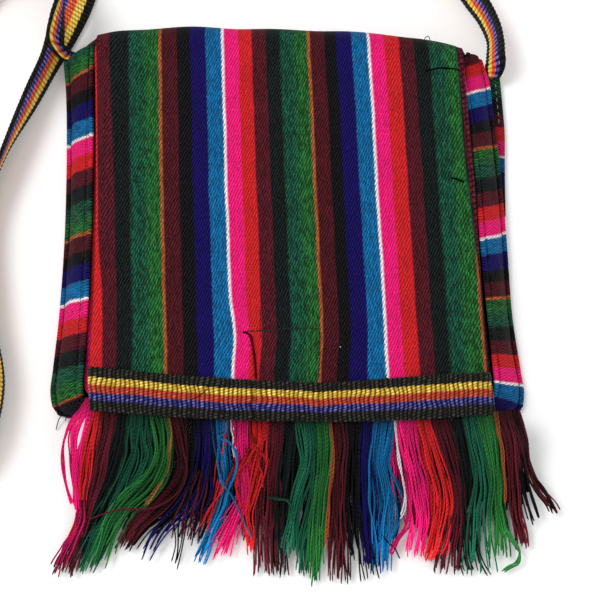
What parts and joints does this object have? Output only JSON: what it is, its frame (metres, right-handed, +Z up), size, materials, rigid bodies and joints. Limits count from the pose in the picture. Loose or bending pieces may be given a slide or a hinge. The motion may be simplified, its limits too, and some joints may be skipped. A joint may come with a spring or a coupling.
{
  "type": "fringe crossbody bag",
  "caption": "Striped twill crossbody bag with a fringed flap, a woven rainbow trim band and a long flat woven strap, lying on its back.",
  "frame": {"origin": "middle of the back panel's outer face, on the surface that the bag lies on", "axes": "+Z up out of the surface through the closed flap, +Y towards the bag's top fold, +X to the right as the flap is seen"},
  "size_m": [0.2984, 0.4641, 0.0367],
  "materials": {
    "striped_twill": "matte cotton twill in multicolour stripes",
    "woven_band": "ribbed woven band with black edges and yellow, orange and blue stripes",
    "fringe_yarn": "loose two-ply cotton yarn ends in the stripe colours"
  },
  "bodies": {
    "root": {"back_flap": "striped_twill", "front_panel": "striped_twill", "gusset": "striped_twill", "strap_tab": "striped_twill", "trim_band": "woven_band", "strap": "woven_band", "fringe": "fringe_yarn"}
  },
  "joints": []
}
